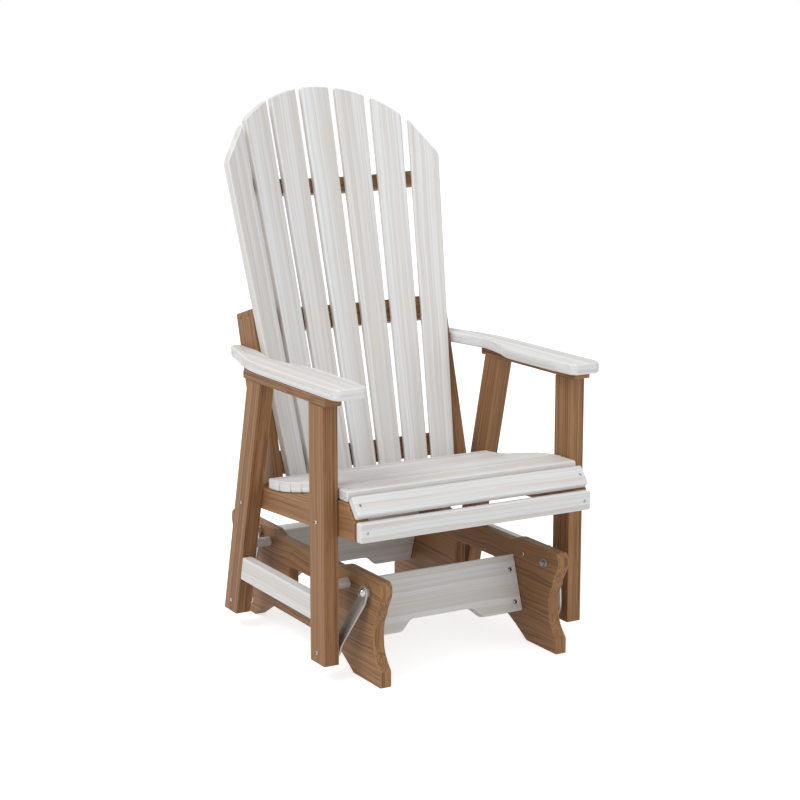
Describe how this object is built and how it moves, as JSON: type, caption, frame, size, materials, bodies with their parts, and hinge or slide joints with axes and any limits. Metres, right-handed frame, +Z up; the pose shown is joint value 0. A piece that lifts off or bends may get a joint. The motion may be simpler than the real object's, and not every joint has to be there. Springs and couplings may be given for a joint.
{
  "type": "outdoor glider",
  "caption": "High-back garden glider of white and brown grained lumber boards, hung on stainless bars from a low base with shaped sides",
  "frame": {"origin": "centre of the bounding box's underside: on the floor, midway between the sides and midway between the apron and the top of the back", "axes": "+Z up, +X to the right of a viewer who faces the front, -Y the way the sitter faces"},
  "size_m": [0.6942, 0.7908, 1.2763],
  "materials": {
    "white_lumber": "matt, pale wood-grain streaks in cool grey and beige",
    "brown_lumber": "matt, brown wood-grain with darker streaks",
    "stainless": "satin stainless steel"
  },
  "bodies": {
    "base": {"base_front_rail": "white_lumber", "base_rear_rail": "white_lumber", "base_side_left": "brown_lumber", "base_side_right": "brown_lumber", "stop_rod_front_left": "white_lumber", "stop_rod_front_right": "white_lumber", "stop_rod_rear_left": "white_lumber", "stop_rod_rear_right": "white_lumber", "upper_pivot_bolt_front_left": "stainless", "upper_pivot_bolt_front_right": "stainless", "upper_pivot_bolt_rear_left": "stainless", "upper_pivot_bolt_rear_right": "stainless"},
    "front_hangers": {"hanger_front_left": "stainless", "hanger_front_right": "stainless"},
    "rear_hangers": {"hanger_rear_left": "stainless", "hanger_rear_right": "stainless"},
    "chair": {"arm_support_left": "brown_lumber", "arm_support_right": "brown_lumber", "armrest_left": "white_lumber", "armrest_right": "white_lumber", "back_post_left": "brown_lumber", "back_post_right": "brown_lumber", "back_rail_lower_bottom": "brown_lumber", "back_rail_lower_top": "brown_lumber", "back_rail_middle_bottom": "brown_lumber", "back_rail_middle_top": "brown_lumber", "back_rail_upper": "brown_lumber", "back_slat_1": "white_lumber", "back_slat_2": "white_lumber", "back_slat_3": "white_lumber", "back_slat_4": "white_lumber", "back_slat_5": "white_lumber", "back_slat_6": "white_lumber", "back_slat_7": "white_lumber", "leg_bolt_front_left": "stainless", "leg_bolt_front_right": "stainless", "leg_bolt_rear_left": "stainless", "leg_bolt_rear_right": "stainless", "leg_front_left": "brown_lumber", "leg_front_right": "brown_lumber", "leg_rear_left": "brown_lumber", "leg_rear_right": "brown_lumber", "leg_stretcher_left": "white_lumber", "leg_stretcher_right": "white_lumber", "lower_pivot_bolt_front_left": "stainless", "lower_pivot_bolt_front_right": "stainless", "lower_pivot_bolt_rear_left": "stainless", "lower_pivot_bolt_rear_right": "stainless", "seat_apron": "white_lumber", "seat_nose_slat": "white_lumber", "seat_slat_1": "white_lumber", "seat_slat_2": "white_lumber", "seat_slat_3": "white_lumber", "seat_slat_4": "white_lumber", "seat_slat_5": "white_lumber", "seat_slat_6": "white_lumber", "seat_slat_7": "white_lumber", "seat_stringer_left": "brown_lumber", "seat_stringer_right": "brown_lumber"}
  },
  "joints": [
    {"name": "front_swing", "type": "hinge", "parent": "base", "child": "front_hangers", "pos_m": [0, -0.33212, 0.20847], "axis": [1, 0, 0], "range_deg": [-12, 12]},
    {"name": "chair_tilt", "type": "hinge", "parent": "front_hangers", "child": "chair", "pos_m": [0, -0.27016, 0.0665], "axis": [1, 0, 0], "range_deg": [-14.5, 14.5]},
    {"name": "rear_swing", "type": "hinge", "parent": "base", "child": "rear_hangers", "pos_m": [0, 0.20603, 0.22269], "axis": [1, 0, 0], "range_deg": [-11.4, 11.4]}
  ],
  "couplings": [
    {"joint": "chair_tilt", "follows": "front_swing", "ratio": -1.2044},
    {"joint": "rear_swing", "follows": "front_swing", "ratio": 0.9412}
  ]
}
